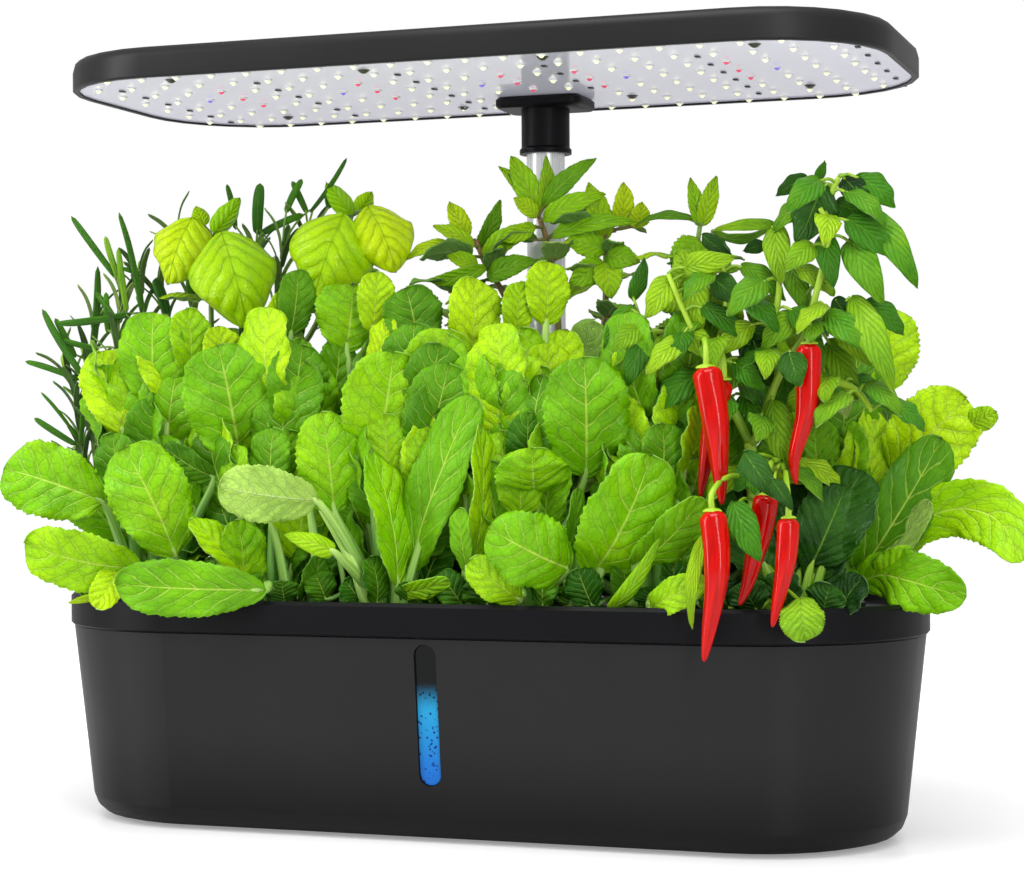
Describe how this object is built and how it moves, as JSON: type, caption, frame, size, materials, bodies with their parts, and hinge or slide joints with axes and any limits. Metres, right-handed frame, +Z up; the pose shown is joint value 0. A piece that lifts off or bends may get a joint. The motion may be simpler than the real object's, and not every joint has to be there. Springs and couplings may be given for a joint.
{
  "type": "countertop hydroponic garden",
  "caption": "Countertop hydroponic garden: stadium-shaped water tank with a level window, lift-off planting deck with potted herbs, greens and chilis, and a grow lamp on a telescopic pole.",
  "frame": {"origin": "middle of the tank's footprint, at the level that the rubber feet stand on", "axes": "+Z up, +X to the right along the tank's length, the side with the water window faces -Y"},
  "size_m": [0.4922, 0.2156, 0.3477],
  "materials": {
    "body_plastic": "satin",
    "deck_plastic": "satin",
    "basket_plastic": "matte",
    "button_plastic": "satin",
    "pump_plastic": "matte",
    "impeller_plastic": "satin",
    "window_clear": "gloss",
    "foot_rubber": "matte",
    "pole_metal": "satin",
    "led_board_white": "gloss",
    "circuit_board": "satin",
    "salad_leaf": "satin",
    "herb_leaf": "satin",
    "chili_skin": "gloss"
  },
  "bodies": {
    "tank": {"reservoir_tank": "body_plastic", "rubber_foot_1": "foot_rubber", "rubber_foot_2": "foot_rubber", "rubber_foot_3": "foot_rubber", "rubber_foot_4": "foot_rubber", "level_window": "window_clear", "window_seal": "foot_rubber", "pump_body": "pump_plastic", "pump_cover": "pump_plastic"},
    "impeller": {"impeller": "impeller_plastic"},
    "deck": {"planting_deck": "deck_plastic", "pole_collar": "deck_plastic", "outer_pole": "pole_metal", "pole_bush": "deck_plastic"},
    "fill_cap": {"fill_cap": "deck_plastic"},
    "lamp": {"inner_pole": "pole_metal", "lamp_mount": "deck_plastic", "lamp_shell": "body_plastic", "led_board": "led_board_white", "lamp_driver": "circuit_board", "control_board": "circuit_board", "power_jack": "pump_plastic"},
    "light_button": {"light_button": "button_plastic"},
    "pump_button": {"pump_button": "button_plastic"},
    "pod_1": {"grow_basket_1": "basket_plastic", "greens_plant_1": "salad_leaf"},
    "pod_2": {"grow_basket_2": "basket_plastic", "greens_plant_2": "salad_leaf"},
    "pod_3": {"grow_basket_3": "basket_plastic", "greens_plant_3": "salad_leaf"},
    "pod_4": {"grow_basket_4": "basket_plastic", "greens_plant_4": "salad_leaf"},
    "pod_5": {"grow_basket_5": "basket_plastic", "greens_plant_5": "salad_leaf"},
    "pod_6": {"grow_basket_6": "basket_plastic", "chili_plant": "herb_leaf", "chili_fruit_1": "chili_skin", "chili_fruit_2": "chili_skin", "chili_fruit_3": "chili_skin", "chili_fruit_4": "chili_skin", "chili_fruit_5": "chili_skin", "chili_fruit_6": "chili_skin"},
    "pod_7": {"grow_basket_7": "basket_plastic", "rosemary_plant": "herb_leaf"},
    "pod_8": {"grow_basket_8": "basket_plastic", "basil_plant": "herb_leaf"},
    "pod_9": {"grow_basket_9": "basket_plastic", "mint_plant_left": "herb_leaf"},
    "pod_10": {"grow_basket_10": "basket_plastic", "mint_plant_right": "herb_leaf"},
    "pod_11": {"grow_basket_11": "basket_plastic", "balm_plant": "herb_leaf"},
    "pod_12": {"grow_basket_12": "basket_plastic", "greens_plant_6": "salad_leaf"}
  },
  "joints": [
    {"name": "impeller_spin", "type": "hinge", "parent": "tank", "child": "impeller", "pos_m": [0.075, -0.0122, 0.0176], "axis": [0, 1, 0], "continuous": true},
    {"name": "deck_lift", "type": "slide", "parent": "tank", "child": "deck", "axis": [0, 0, 1], "range_m": [0, 0.12]},
    {"name": "cap_lift", "type": "slide", "parent": "deck", "child": "fill_cap", "axis": [0, 0, 1], "range_m": [0, 0.022]},
    {"name": "pole_extend", "type": "slide", "parent": "deck", "child": "lamp", "axis": [0, 0, 1], "range_m": [-0.015, 0.062]},
    {"name": "light_button_press", "type": "slide", "parent": "lamp", "child": "light_button", "axis": [0, 0, -1], "range_m": [0, 0.0008], "stiffness_N_per_m": 800, "springref_m": -0.0004},
    {"name": "pump_button_press", "type": "slide", "parent": "lamp", "child": "pump_button", "axis": [0, 0, -1], "range_m": [0, 0.0008], "stiffness_N_per_m": 800, "springref_m": -0.0004},
    {"name": "pod_1_lift", "type": "slide", "parent": "deck", "child": "pod_1", "axis": [0, 0, 1], "range_m": [0, 0.055]},
    {"name": "pod_2_lift", "type": "slide", "parent": "deck", "child": "pod_2", "axis": [0, 0, 1], "range_m": [0, 0.055]},
    {"name": "pod_3_lift", "type": "slide", "parent": "deck", "child": "pod_3", "axis": [0, 0, 1], "range_m": [0, 0.055]},
    {"name": "pod_4_lift", "type": "slide", "parent": "deck", "child": "pod_4", "axis": [0, 0, 1], "range_m": [0, 0.055]},
    {"name": "pod_5_lift", "type": "slide", "parent": "deck", "child": "pod_5", "axis": [0, 0, 1], "range_m": [0, 0.055]},
    {"name": "pod_6_lift", "type": "slide", "parent": "deck", "child": "pod_6", "axis": [0, 0, 1], "range_m": [0, 0.042]},
    {"name": "pod_7_lift", "type": "slide", "parent": "deck", "child": "pod_7", "axis": [0, 0, 1], "range_m": [0, 0.025]},
    {"name": "pod_8_lift", "type": "slide", "parent": "deck", "child": "pod_8", "axis": [0, 0, 1], "range_m": [0, 0.035]},
    {"name": "pod_9_lift", "type": "slide", "parent": "deck", "child": "pod_9", "axis": [0, 0, 1], "range_m": [0, 0.045]},
    {"name": "pod_10_lift", "type": "slide", "parent": "deck", "child": "pod_10", "axis": [0, 0, 1], "range_m": [0, 0.026]},
    {"name": "pod_11_lift", "type": "slide", "parent": "deck", "child": "pod_11", "axis": [0, 0, 1], "range_m": [0, 0.04]},
    {"name": "pod_12_lift", "type": "slide", "parent": "deck", "child": "pod_12", "axis": [0, 0, 1], "range_m": [0, 0.055]}
  ]
}
